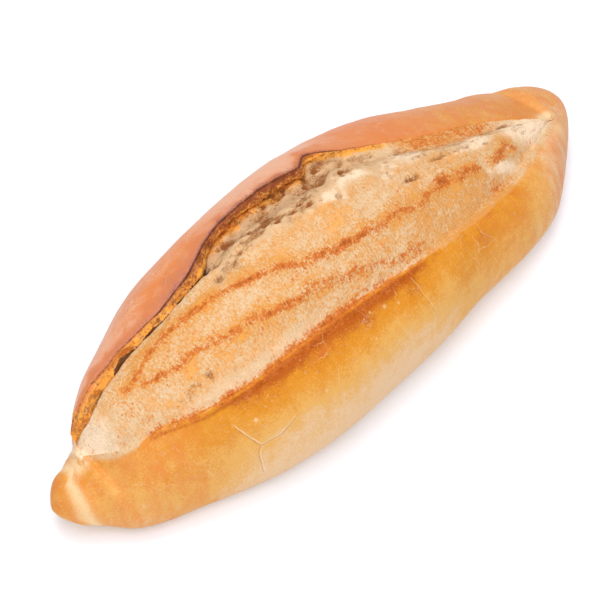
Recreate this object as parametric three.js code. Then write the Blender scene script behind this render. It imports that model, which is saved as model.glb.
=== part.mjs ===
// White bread loaf: one solid, baked whole, with a single long slash that opened in the oven.
// Millimetres, +Z up. X runs along the loaf, from its pinched tip at -X to its blunt tip at +X.
// -Y is the near flank. The far flank, at +Y, has the crust that lifts into an ear over the slash.
import * as THREE from 'three';

// Driving dimensions
const LENGTH = 280; // tip to tip
const NEAR_REACH = 50.5; // axis to the fullest part of the near flank
const FAR_REACH = 43; // axis to the fullest part of the far flank
const CROWN = 75; // base to the top that the closed crust would have
const TIP_LIFT = { pinched: 12, blunt: 16, from: 0.72, power: 2.2 }; // how the tips leave the base
const TIP_BEND = { from: 92, to: 126, reach: 3.5 }; // the blunt tip's turn towards the far flank
const NECK = { x: -128, width: 4.5, near: 2.6, far: 2, crown: 2 }; // the pinch behind the knob
const SLASH = { from: -122, to: 120 }; // where the slash starts and ends
const EAR_THICKNESS = 5; // torn edge of the lifted crust
const HOLLOW = { deepTo: -55, shallowFrom: -35, shallow: 0.62 }; // depth under the ear along the loaf
const SHUT = { from: -122, full: -118, keep: -60, to: -44 }; // where the ear lies close on the bloom
const FLAT = { from: 4, to: 24 }; // where the gap before the ear runs out into a shallow step
const SUNK = { depth: 2.5, from: -84, to: -30, start: 14 }; // the bloom lies lower beside the pinched end
const NOTCH = { from: 3.5, peak: 10.5, to: 27, depth: 4 }; // step torn into the ear's edge
const BLOOM_CROWN = 6; // how far the bloom bulges over its chord
const RIM_STEP = 1.6; // width of the rim's folded edge

// Lines along the loaf, as rows of x, y and z. The ear's rows end with the width of the gap before it.
const RIM = [
  [-122, 0, 29], [-115, -12, 37], [-104, -19, 43.5], [-89, -28, 48.6], [-72, -32.5, 52],
  [-33, -34, 53.3], [9, -35, 50.3], [58, -30, 41.3], [92, -20.8, 33.5], [120, -10.2, 27.6],
];
const EAR = [
  [-123, 5.6, 28.4, 2], [-121, 8, 28.6, 3], [-119.6, 11.4, 31.6, 5], [-117.3, 10.4, 39.5, 6],
  [-112, 10.6, 46.8, 5.6], [-98, 11.3, 54, 4.4], [-72, 9.6, 64.5, 3.6], [-60, 11.4, 67.5, 5.2],
  [-44, 17.4, 69.8, 11.4], [-28, 20.2, 70.4, 14.8], [3, 18.4, 70, 16], [18, 16.6, 67.2, 14.5],
  [36, 13, 61, 12.8], [61, 6.5, 52.2, 12], [94, 0, 39.6, 7.5], [108, -4.2, 33.6, 4], [120, -9, 27.8, 1],
];

// Outlines from above and from the side: where each is fullest, and the exponents of its two sides
const TAPERS = {
  near: { peak: -0.22, left: [1.9, 1.75], right: [2.6, 1.6] },
  far: { peak: 0.04, left: [2, 1.5], right: [2.05, 2] },
  crown: { peak: -0.05, left: [2.1, 1.45], right: [2, 1.35] },
};

// Shares of reach and crown that place the section's lower points
const BASE = { near: 0.74, far: 0.72 };
const LOW = { near: [0.925, 0.1], far: [0.93, 0.11] };
const BULGE = { near: 0.31, far: 0.34 };

// Places on the curved stretches of a section. Near crust: degrees of its quarter ellipse, and depth of its
// groove, which runs out along the loaf. Bloom: shares of its chord, and degrees from the crest where it
// closes up. Far crust: degrees.
const NEAR_CRUST = [[36, 0], [66, 0.8]];
const GROOVE_END = { from: 10, to: 40 };
const BLOOM = [[0.3, 4], [0.68, 1.5]];
const FAR_CRUST = [30, 60];
const CREST = { left: 84, right: 124, nearSpan: 8, farSpan: 10 };

// Uneven swelling of the flanks: rows of x, half width and height
const NEAR_SWELLS = [[-100, 20, -3.1], [-40, 36, 1.2], [45, 22, -2.6], [94, 16, 1.2]];
const FAR_SWELLS = [
  [-121.5, 4.8, -11.4], [-113, 6, -2.6], [-70, 20, 3.6], [-18, 24, -1.6], [50, 30, 4.2], [112, 8, 1.4],
  [127, 7, -4.6],
];

// Tears that run along the bloom as low ridges: rows of x and y
const TEARS = [
  [[-102, -2.4], [-88, 0.6], [-74, 0.1], [-50, -6.4], [-27, -15.3], [9, -19.9], [31, -20.3], [66, -17.2]],
  [[-97, -5.5], [-78, -11.6], [-55, -18.6], [-30, -22.4], [-4, -27.8], [21, -30]],
];
const TEAR_RIDGE = { height: 0.7, halfWidth: 3.6, fade: 8 };
const CRUST_LUMPS = { height: 0.5, size: 46 };
const CRUMB_LUMPS = { height: 0.9, size: 9 };

// Landmarks of a cross-section in order, each with the samples on the stretch that follows it
const SECTION = {
  baseFar: 2, baseMiddle: 2, baseNear: 2, nearLow: 2, nearBulge: 3, nearCrust: 2, underRim: 2, rim: 1,
  rimInner: 5, bloomLow: 5, bloomHigh: 5, shoulder: 3, hollow: 2, root: 2, torn: 2, edge: 1,
  edgeTop: 3, farCrust: 3, farShoulder: 2, farBulge: 2, farLow: 2,
};
const SECTION_NAMES = Object.keys(SECTION);
const STATIONS = 106; // steps along the loaf
const STATION_EASE = 0.6; // how much the stations crowd towards the tips

const { clamp, degToRad, lerp, smoothstep } = THREE.MathUtils;
const HALF = LENGTH / 2;

// A rise from 0 to 1 between two places that falls back to 0 between two more
function between(x, from, full, keep, to) {
  return smoothstep(x, from, full) * (1 - smoothstep(x, keep, to));
}

// A bell of height 1 that falls to 1/e at one width from its middle
function bell(x, middle, width) {
  return Math.exp(-(((x - middle) / width) ** 2));
}

// A round-ended outline: 1 at the peak, 0 at both tips, with its own pair of exponents on each side
function taper(u, { peak, left, right }) {
  const [power, root] = u < peak ? left : right;
  const reach = u < peak ? 1 + peak : 1 - peak;
  const m = clamp(Math.abs(u - peak) / reach, 0, 1);
  return (1 - m ** power) ** (1 / root);
}

// A smooth line through rows that start with x: cubic pieces whose slopes come from the neighbouring rows
function lineAt(rows, x) {
  const last = rows.length - 1;
  const place = clamp(x, rows[0][0], rows[last][0]);
  const from = clamp(rows.filter((row) => row[0] <= place).length - 1, 0, last - 1);
  const span = rows[from + 1][0] - rows[from][0];
  const t = (place - rows[from][0]) / span;
  const slope = (k, column) => {
    const rise = (j) => (rows[j + 1][column] - rows[j][column]) / (rows[j + 1][0] - rows[j][0]);
    if (k === 0) return rise(0);
    if (k === last) return rise(last - 1);
    const before = rows[k][0] - rows[k - 1][0];
    const after = rows[k + 1][0] - rows[k][0];
    return (rise(k - 1) * after + rise(k) * before) / (before + after);
  };
  return rows[from].slice(1).map((value, c) => (
    (1 + 2 * t) * (1 - t) ** 2 * value + t * (1 - t) ** 2 * span * slope(from, c + 1)
    + t * t * (3 - 2 * t) * rows[from + 1][c + 1] + t * t * (t - 1) * span * slope(from + 1, c + 1)
  ));
}

// The sum of a flank's swells at x
function swellAt(rows, x) {
  return rows.reduce((sum, [place, width, height]) => sum + height * bell(x, place, width), 0);
}

// Uneven lumps of about one size: five sine waves whose directions turn by the golden angle
function lumps(point, x, size) {
  const waves = 5;
  const goldenAngle = Math.PI * (3 - Math.sqrt(5));
  let sum = 0;
  for (let k = 0; k < waves; k += 1) {
    const rise = 1 - (2 * (k + 0.5)) / waves;
    const flat = Math.sqrt(1 - rise * rise);
    const turn = k * goldenAngle;
    const along = flat * (x * Math.cos(turn) + point.y * Math.sin(turn)) + point.z * rise;
    sum += Math.sin((2 * Math.PI * along) / (size * (1 + 0.17 * k)) + 1.7 * k);
  }
  return sum / waves;
}

// The closed loaf's outline at x: reaches of both flanks, crown height, lift of the base and bend of the tip
function bodyAt(x) {
  const u = x / HALF;
  const inside = 1 - Math.abs(u) ** 6;
  const pinch = bell(x, NECK.x, NECK.width);
  const near = NEAR_REACH * taper(u, TAPERS.near) + swellAt(NEAR_SWELLS, x) * inside;
  const far = FAR_REACH * taper(u, TAPERS.far) + swellAt(FAR_SWELLS, x) * inside;
  const crown = CROWN * taper(u, TAPERS.crown);
  const raised = clamp((Math.abs(u) - TIP_LIFT.from) / (1 - TIP_LIFT.from), 0, 1) ** TIP_LIFT.power;
  return {
    near: Math.max(near - NECK.near * pinch, 0),
    far: Math.max(far - NECK.far * pinch, 0),
    crown: Math.max(crown - NECK.crown * pinch, 0),
    lift: (u < 0 ? TIP_LIFT.pinched : TIP_LIFT.blunt) * raised,
    bend: TIP_BEND.reach * smoothstep(x, TIP_BEND.from, TIP_BEND.to),
  };
}

// How far the slash has opened at x, from 0 to 1
function gapeAt(x) {
  return between(x, SLASH.from - 5, SLASH.from + 1.5, SLASH.to - 2, SLASH.to + 8);
}

// Height of the ear's torn edge at x: thicker at the pinched end, and thinning out towards the blunt one
function tornEdgeAt(x) {
  const thick = EAR_THICKNESS * (1 + 0.32 * (1 - smoothstep(x, -110, -85)));
  const thinning = 1 - 0.82 * smoothstep(x, 6, 34);
  return thick * thinning * between(x, SLASH.from, SLASH.from + 5, 95, SLASH.to);
}

// The landmarks of the cross-section at x, as points of the YZ plane in the order of SECTION.
// Where the slash is shut, those above the flanks slide onto a plain arch and close up at its crest.
function landmarksAt(x) {
  const { near, far, crown, lift, bend } = bodyAt(x);
  const gape = gapeAt(x);
  const torn = tornEdgeAt(x);
  const [rimY, rimZ] = lineAt(RIM, x);
  const [crustY, earZ, gap] = lineAt(EAR, x);
  const earY = crustY + NOTCH.depth * between(x, NOTCH.from, NOTCH.peak, NOTCH.peak, NOTCH.to);
  const pinchedHalf = 1 - smoothstep(x, SUNK.from, SUNK.to);
  const lowering = pinchedHalf * smoothstep(x, SLASH.from, SLASH.from + SUNK.start);
  const sink = lerp(1, HOLLOW.shallow, smoothstep(x, HOLLOW.deepTo, HOLLOW.shallowFrom));
  const shut = between(x, SHUT.from, SHUT.full, SHUT.keep, SHUT.to);
  const flat = smoothstep(x, FLAT.from, FLAT.to);
  const free = 1 - shut - flat;
  const grooved = 1 - smoothstep(x, GROOVE_END.from, GROOVE_END.to);
  const shoulderY = earY - gap;
  const shoulderZ = earZ + 0.16 * gap - SUNK.depth * lowering;
  const nearZ = lift + BULGE.near * crown;
  const farZ = lift + BULGE.far * crown;
  const nearY = bend - near;
  const farY = bend + far;
  const crest = x < 0 ? CREST.left : CREST.right;
  const rimAngle = crest + CREST.nearSpan;
  const edgeAngle = crest - CREST.farSpan;

  const points = [];
  const put = (y, z) => points.push(new THREE.Vector3(0, y, z));
  const mix = (y, z, degrees) => {
    const angle = degToRad(degrees);
    const reach = Math.cos(angle) < 0 ? near : far;
    const archY = bend + reach * Math.cos(angle);
    const archZ = lift + crown * lerp(BULGE.far, 1, Math.sin(angle));
    put(lerp(archY, y, gape), lerp(archZ, z, gape));
  };

  // Base and lower near flank
  put(bend + BASE.far * far, lift);
  put(bend, lift);
  put(bend - BASE.near * near, lift);
  put(bend - LOW.near[0] * near, lift + LOW.near[1] * crown);
  put(nearY, nearZ);
  // Near crust: a quarter ellipse from the bulge to the rim, with a slight groove under the rim
  for (const [degrees, groove] of NEAR_CRUST) {
    const angle = degToRad(degrees);
    const y = rimY - (rimY - nearY) * Math.cos(angle) + groove * grooved;
    const z = nearZ + (rimZ - nearZ) * Math.sin(angle) - groove * grooved;
    mix(y, z, lerp(180, rimAngle, degrees / 90));
  }
  mix(rimY, rimZ, rimAngle);
  mix(rimY + RIM_STEP, rimZ + 0.1, crest + 6);
  // Bloom: the dough that rose through the slash, bulging over the chord from rim to shoulder
  const bulge = BLOOM_CROWN * clamp((shoulderY - rimY) / 40, 0, 1.3);
  for (const [share, spread] of BLOOM) {
    const y = lerp(rimY + RIM_STEP, shoulderY, share);
    const z = lerp(rimZ, shoulderZ, share) + bulge * (1 - (2 * share - 1) ** 2);
    mix(y, z, crest + spread);
  }
  mix(shoulderY, shoulderZ, crest);
  // Hollow under the ear, its root and the ear's torn edge. Each is a mix of three places: under the free ear,
  // close to the bloom where the ear is shut, and on the shallow step.
  const hollowY = free * (-0.35 * gap - 0.4 * torn) - (0.9 * shut + 0.55 * flat) * gap;
  const rootY = free * 0.15 * torn - (0.8 * shut + 0.3 * flat) * gap;
  const faceY = free * -0.4 * torn - (0.68 * shut + 0.12 * flat) * gap;
  mix(earY + hollowY, earZ - torn * (1.35 * sink * free + 1.15 * shut + 1.3 * flat), crest - 2);
  mix(earY + rootY, earZ - torn * (1.75 * sink * free + 1.25 * shut + flat), crest - 4);
  mix(earY + faceY, earZ - torn * (1.05 * sink * free + 0.66 * shut + 0.5 * flat), crest - 6);
  mix(earY - 0.06 * torn, earZ - 0.15 * torn, crest - 8);
  mix(earY + 0.12 * torn, earZ, edgeAngle);
  // Far crust: a quarter ellipse from the ear to the far bulge
  for (const degrees of FAR_CRUST) {
    const angle = degToRad(degrees);
    const y = lerp(crustY, farY, Math.sin(angle));
    const z = lerp(farZ, earZ, Math.cos(angle));
    mix(y, z, lerp(edgeAngle, 0, degrees / 90));
  }
  put(farY, farZ);
  put(bend + LOW.far[0] * far, lift + LOW.far[1] * crown);
  return points;
}

// Relief over the smooth section: low lumps on the crust, torn ridges along the bloom, crumb in the hollow.
// The place counts landmarks, with a fraction for the way to the next one.
function reliefAt(x, point, place) {
  const at = (name) => SECTION_NAMES.indexOf(name);
  const gape = gapeAt(x);
  const rimEnd = at('rimInner');
  const shoulder = at('shoulder');
  const hollow = at('hollow');
  const inSlash = gape * between(place, at('rim'), rimEnd, at('edge'), at('edgeTop'));
  const onCrust = smoothstep(point.z, 2, 14) * (1 - inSlash);
  const onBloom = gape * between(place, rimEnd, rimEnd + 0.5, shoulder - 0.6, shoulder);
  const onCrumb = gape * between(place, shoulder - 0.8, shoulder, hollow, hollow + 0.8);
  let height = CRUST_LUMPS.height * lumps(point, x, CRUST_LUMPS.size) * onCrust;
  height += CRUMB_LUMPS.height * lumps(point, x, CRUMB_LUMPS.size) * onCrumb * smoothstep(x, -75, -40);
  for (const tear of TEARS) {
    const [tearY] = lineAt(tear, x);
    const start = tear[0][0];
    const end = tear[tear.length - 1][0];
    const shown = between(x, start, start + TEAR_RIDGE.fade, end - TEAR_RIDGE.fade, end);
    height += TEAR_RIDGE.height * shown * onBloom * bell(point.y, tearY, TEAR_RIDGE.halfWidth);
  }
  return height;
}

// One closed ring of points round the section at x: a centripetal curve through the landmarks, moved out
// along its own normal by the relief, and flat where it meets the base
function ringAt(x) {
  const curve = new THREE.CatmullRomCurve3(landmarksAt(x), true, 'centripetal');
  const places = SECTION_NAMES.flatMap((name, i) => (
    Array.from({ length: SECTION[name] }, (_, k) => i + k / SECTION[name])
  ));
  return places.map((place) => {
    const t = place / SECTION_NAMES.length;
    const point = curve.getPoint(t);
    const tangent = curve.getTangent(t);
    const height = reliefAt(x, point, place);
    point.y -= tangent.z * height;
    point.z += tangent.y * height;
    return [x, point.y, Math.max(point.z, 0)];
  });
}

// The loaf's skin: rings from tip to tip, stitched with triangles and closed by a point at each tip
function loafGeometry() {
  const xs = Array.from({ length: STATIONS - 1 }, (_, k) => {
    const a = -1 + (2 * (k + 1)) / STATIONS;
    return HALF * lerp(a, Math.sin((a * Math.PI) / 2), STATION_EASE);
  });
  const rings = xs.map(ringAt);
  const around = rings[0].length;
  const tipOf = (ring, x) => {
    const middle = (axis) => ring.reduce((sum, point) => sum + point[axis], 0) / around;
    return [x, middle(1), middle(2)];
  };
  const vertices = [...rings.flat(), tipOf(rings[0], -HALF), tipOf(rings.at(-1), HALF)];
  const pinchedTip = rings.length * around;
  const bluntTip = pinchedTip + 1;
  const triangles = [];
  const corner = (ring, k) => ring * around + (k % around);
  for (let k = 0; k < around; k += 1) {
    triangles.push(pinchedTip, corner(0, k), corner(0, k + 1));
    for (let ring = 0; ring < rings.length - 1; ring += 1) {
      triangles.push(corner(ring, k), corner(ring + 1, k), corner(ring + 1, k + 1));
      triangles.push(corner(ring, k), corner(ring + 1, k + 1), corner(ring, k + 1));
    }
    triangles.push(bluntTip, corner(rings.length - 1, k + 1), corner(rings.length - 1, k));
  }
  const geometry = new THREE.BufferGeometry();
  geometry.setAttribute('position', new THREE.Float32BufferAttribute(vertices.flat(), 3));
  geometry.setIndex(triangles);
  geometry.computeVertexNormals();
  return geometry;
}

// The origin goes to the middle of the base
function centredOnBase(geometry) {
  geometry.computeBoundingBox();
  const { min, max } = geometry.boundingBox;
  return geometry.translate(-(min.x + max.x) / 2, -(min.y + max.y) / 2, -min.z);
}

const crust = new THREE.MeshStandardMaterial({ color: 0xd9a05c, roughness: 0.7, metalness: 0 });
const loaf = new THREE.Mesh(centredOnBase(loafGeometry()), crust);
loaf.name = 'loaf';

const part = new THREE.Group();
part.add(loaf);

export default part;
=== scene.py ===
import itertools
import math

import bpy
import numpy as np
from bpy.props import FloatProperty, FloatVectorProperty, IntProperty, PointerProperty
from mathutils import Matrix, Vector


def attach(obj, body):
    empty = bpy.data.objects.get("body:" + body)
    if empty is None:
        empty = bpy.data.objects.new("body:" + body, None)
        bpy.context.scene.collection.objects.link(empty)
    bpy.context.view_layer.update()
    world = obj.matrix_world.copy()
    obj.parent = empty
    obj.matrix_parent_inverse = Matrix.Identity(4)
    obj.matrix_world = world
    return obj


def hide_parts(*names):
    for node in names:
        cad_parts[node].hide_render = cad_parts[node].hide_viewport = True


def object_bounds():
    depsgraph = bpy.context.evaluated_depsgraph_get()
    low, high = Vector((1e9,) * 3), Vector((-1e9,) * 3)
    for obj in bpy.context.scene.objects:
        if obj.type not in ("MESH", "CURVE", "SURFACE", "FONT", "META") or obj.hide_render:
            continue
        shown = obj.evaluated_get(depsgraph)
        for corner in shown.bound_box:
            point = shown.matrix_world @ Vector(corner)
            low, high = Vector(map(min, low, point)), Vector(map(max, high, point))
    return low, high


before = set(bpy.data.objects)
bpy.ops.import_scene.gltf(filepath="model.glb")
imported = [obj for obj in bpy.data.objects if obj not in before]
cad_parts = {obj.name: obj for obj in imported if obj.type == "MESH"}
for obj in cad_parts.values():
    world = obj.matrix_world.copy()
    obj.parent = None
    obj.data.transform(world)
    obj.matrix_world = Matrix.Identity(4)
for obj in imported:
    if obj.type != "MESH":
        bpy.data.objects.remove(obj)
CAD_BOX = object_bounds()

bl_info = {
    "name": "White bread loaf",
    "version": (1, 0, 0),
    "blender": (4, 5, 0),
    "location": "3D View > Sidebar > Loaf",
    "description": "Bakes a white bread loaf with one long slash and sets it on a pale studio floor",
    "category": "Add Mesh",
}

# Shapes are worked out in millimetres and put into the mesh in metres.
# X runs along the loaf, from its pinched tip at -X to its blunt tip at +X. The near flank is at -Y.
MM = 0.001

# The closed loaf's outlines: where on the half length each is fullest, then the power and the root of its
# fall to the pinched tip and to the blunt tip
NEAR_TAPER = (-0.22, (1.9, 1.75), (2.6, 1.6))
FAR_TAPER = (0.04, (2, 1.5), (2.05, 2))
CROWN_TAPER = (-0.05, (2.1, 1.45), (2, 1.35))

# Shares of the reach and of the crown: the flat base, the foot where it turns up, the fullest part, and the
# closed arch over that
BASE_NEAR, BASE_FAR = 0.74, 0.72
FOOT_NEAR, FOOT_FAR = (0.925, 0.1), (0.93, 0.11)
BULGE_NEAR, BULGE_FAR, OVER_BULGE = 0.31, 0.34, 0.66

# How the tips leave the floor, and the neck that pinches one of them off
LIFT_FROM = 0.72
LIFT_POWER = 2.2
PINCHED_TIP_LIFT = 12.0
BLUNT_TIP_LIFT = 16.0
BLUNT_TIP_BEND = 3.5
NECK_AT = -128.0
NECK_WIDTH = 4.5
NECK_NEAR, NECK_FAR, NECK_TOP = 2.6, 2.0, 2.0

# The slash from its start to its end, the step inside its rim, and the angles of the crests where it shuts
SLASH_FROM = -122.0
SLASH_TO = 120.0
RIM_STEP = 1.6
PINCHED_CREST, BLUNT_CREST = 84.0, 124.0

# Lines along the loaf: rows of x, y and z, and on the ear also the width of the gap before it. The notch is
# a nick in the ear's edge.
RIM = (
    (-122, 0, 29), (-115, -12, 37), (-104, -19, 43.5), (-89, -28, 48.6), (-72, -32.5, 52),
    (-33, -34, 53.3), (9, -35, 50.3), (58, -30, 41.3), (92, -20.8, 33.5), (120, -10.2, 27.6),
)
EAR = (
    (-123, 5.6, 28.4, 2), (-121, 8, 28.6, 3), (-119.6, 11.4, 31.6, 5), (-117.3, 10.4, 39.5, 6),
    (-112, 10.6, 46.8, 5.6), (-98, 11.3, 54, 4.4), (-72, 9.6, 64.5, 3.6), (-60, 11.4, 67.5, 5.2),
    (-44, 17.4, 69.8, 11.4), (-28, 20.2, 70.4, 14.8), (3, 18.4, 70, 16), (18, 16.6, 67.2, 14.5),
    (36, 13, 61, 12.8), (61, 6.5, 52.2, 12), (94, 0, 39.6, 7.5), (108, -4.2, 33.6, 4), (120, -9, 27.8, 1),
)
NOTCH_FROM, NOTCH_PEAK, NOTCH_TO, NOTCH_DEPTH = 3.5, 10.5, 27.0, 4.0

# Uneven swelling of the flanks: rows of x, half width and height
NEAR_SWELLS = ((-100, 20, -3.1), (-40, 36, 1.2), (45, 22, -2.6), (94, 16, 1.2))
FAR_SWELLS = (
    (-121.5, 4.8, -11.4), (-113, 6, -2.6), (-70, 20, 3.6), (-18, 24, -1.6), (50, 30, 4.2), (112, 8, 1.4),
    (127, 7, -4.6),
)

# Toasted tears along the bloom: rows of x, y and how dark the tear is there, then the half widths of a
# tear's core and halo, its height, and the length over which its ends fade
TEARS = (
    ((-102, -2.4, 0.7), (-88, 0.6, 0.8), (-74, 0.1, 0.85), (-62, -3.3, 0.9), (-50, -6.4, 1), (-38, -10, 1),
     (-30, -12.8, 1)),
    ((-27, -15.3, 1), (-20, -16, 1), (-12.5, -17.6, 0.9)),
    ((-10, -17.8, 1), (0, -19.4, 0.9), (9, -19.9, 0.8), (17, -18.8, 0.9), (31, -20.3, 0.9), (37, -19.2, 0.9),
     (44, -17.5, 1), (54, -18.4, 0.9), (66, -17.2, 0.8)),
    ((-97, -5.5, 0.7), (-88, -10, 0.8), (-78, -11.6, 0.8), (-66, -17, 0.8), (-55, -18.6, 0.8),
     (-44, -20.9, 1), (-30, -22.4, 1), (-17, -25, 0.6)),
    ((-13, -26.2, 0.6), (-4, -27.8, 0.7), (7, -29.5, 0.6), (21, -30, 0.5)),
    ((74, -17.4, 0.8), (81, -15.6, 1), (87, -14, 1), (90, -14.8, 0.7)),
)
TEAR_CORE = 1.7
TEAR_HALO = 3.6
TEAR_HEIGHT = 0.7
TEAR_FADE = 4.0

# Round spots: rows of two coordinates, two half widths and a strength. Toast, raw dough, slots and spongy
# dough are placed by x and y, brown and floury spots on the near crust by x and z. A slot's strength is its
# depth.
TOAST_SPOTS = (
    (46, -16.4, 5.5, 2.4, 1.7), (57, -17.4, 8, 2.3, 1.2), (72, -25, 8, 2, 0.8), (62, -1, 8, 2.6, 0.8),
    (-107, -7, 4, 7, 0.4), (33, -9.8, 4, 1.4, 0.5),
)
RAW_SPOTS = (
    (78, -19.4, 7.5, 2.2, 1.5), (104, -9, 15, 6, 1.1), (-121, -3, 6, 11, 1.2), (43, 0, 8, 5, 1),
    (75, -8.5, 12, 3.4, 0.9), (27, -5, 4, 4, 0.7), (90, -13, 6, 4, 0.6), (-78, -25, 10, 2.5, 0.35),
)
SLOTS = (
    (35.2, -11.4, 4.2, 0.8, 1.8), (-80.2, -20.8, 0.8, 1.5, 1.2), (45, 4.6, 4.5, 1.4, 1.1),
    (54.5, -8.2, 5, 0.8, 1.3), (97, -4.2, 6, 0.7, 1.4), (70, -8.8, 1.6, 0.5, 1), (75, -7.2, 1.6, 0.5, 0.9),
    (79, -10.6, 1.6, 0.5, 1), (28, -6, 0.9, 1.8, 1),
)
SPONGE = (
    (86, -5.6, 9, 2.6, 1), (66, -6.4, 7, 3.6, 0.9), (46, -1, 8, 4, 0.9), (100, -9, 6, 3, 0.7),
    (-88, -20, 8, 3.5, 0.5), (-72, -25, 9, 3, 0.45),
)
BROWN_SPOTS = ((-40, 51.2, 6.5, 1.3, 1.1), (-10.1, 42.9, 0.5, 0.5, 1.4))
FLOUR_SPOTS = (
    (-75.5, 43.6, 0.8, 0.8, 1), (-47.3, 41.5, 0.7, 0.7, 0.8), (-19.6, 44.9, 0.7, 0.7, 0.8),
    (-9.1, 49.6, 0.6, 0.5, 0.9), (-3.4, 47.9, 0.6, 0.6, 0.8),
)

# Skin stretched thin at both ends of the slash: rows of x, y, two half widths and a strength
STRETCHED = ((120, -14, 6, 5, 0.6), (119, -7.5, 6, 3.4, 1), (123, -2, 5, 4, 0.3), (-126, 1, 4, 6, 0.9))

# The pale crease that sets the pinched tip off: x for rows of the place round the section
CREASE = ((3.6, -132.4), (4.4, -134.3), (5.4, -134), (6.3, -132.9), (7.8, -130.7), (12, -129), (16.6, -128.5))

# Hairline cracks in the near crust: z for rows of x, then twice x for rows of z
CRACK_ACROSS = (
    (-86, 48.5), (-82.6, 43.1), (-79.7, 38.4), (-76.4, 33.4), (-71.3, 34.4), (-69, 34.8), (-66.5, 36.5),
    (-61, 40),
)
CRACK_DOWN = ((14, -75.6), (22, -77), (28.5, -77.6), (33.6, -76.4))
HAIRLINE = ((30, 13), (34, 11.5), (42.2, 9.1), (46.2, 8.2), (50.5, 7.4))

# How far the near crust is baked: rows of the place round the section, then the middle of the flank and its
# ends. The underside is even.
BAKE = (
    (3, 0, 0.3), (4.1, 0.05, 0.48), (4.7, 0.27, 0.58), (5, 0.46, 0.62), (5.4, 0.66, 0.66), (5.8, 0.84, 0.69),
    (6.1, 0.94, 0.72), (6.35, 1.06, 0.73), (6.6, 1.24, 0.73), (6.95, 1.34, 0.72), (7.15, 0.85, 0.7),
    (7.4, 0.75, 0.66),
)
UNDERSIDE_BAKE = 0.55

# What the oven did to the ear: rows of x, then how far the torn face is scalded, the crust by it flushed and
# burnt, with painted sheen in the burnt band's purple, and the edge charred
EAR_BURN = (
    (-119, 0.3, 0.4, 0.2, 0.4), (-100, 0.35, 0.8, 0.3, 0.5), (-82, 0.4, 0.9, 0.3, 0.6),
    (-70, 0.6, 1, 0.5, 0.75), (-50, 0.75, 1, 0.7, 0.85), (-38, 0.85, 0.8, 0.75, 0.85),
    (-18, 0.95, 0.5, 0.6, 0.85), (2, 0.9, 0.5, 0.6, 0.85), (8, 0.7, 0.6, 0.6, 0.9), (14, 0.4, 0.5, 0.6, 0.9),
    (28, 0.3, 0.3, 0.5, 0.8), (46, 0.1, 0.15, 0.1, 0.2), (70, 0, 0, 0, 0), (120, 0, 0, 0, 0),
)

# Landmarks of a cross-section in order, each with the samples on the stretch that follows it. A place round
# the section is a landmark's number, counted from 0, with a fraction for the way to the next one.
SECTION = {
    "base far": 4, "base middle": 4, "base near": 3, "near low": 10, "near bulge": 22, "near crust": 18,
    "under rim": 12, "rim": 4, "rim inner": 27, "bloom low": 28, "bloom high": 21, "shoulder": 20,
    "hollow": 15, "root": 8, "torn": 8, "edge": 3, "edge top": 16, "far crust": 14, "far shoulder": 12,
    "far bulge": 6, "far low": 4,
}

# Noises of the dough: name, grain in millimetres, how far it is drawn out along x, y and z, and octaves.
# The finest are drawn about twice as coarse as on real bread, so that they still show from a metre away.
NOISES = (
    ("speckle", 0.7, (1, 1, 1), 2), ("grain", 0.8, (1, 1, 1), 2), ("fibre", 0.7, (1, 3, 3), 2),
    ("flake", 1.7, (1.3, 1, 1), 3), ("patch", 4, (2.2, 1, 1), 3), ("drip", 4, (1, 2, 3), 4),
    ("cloud", 15, (1, 1, 1), 3),
)

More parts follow.
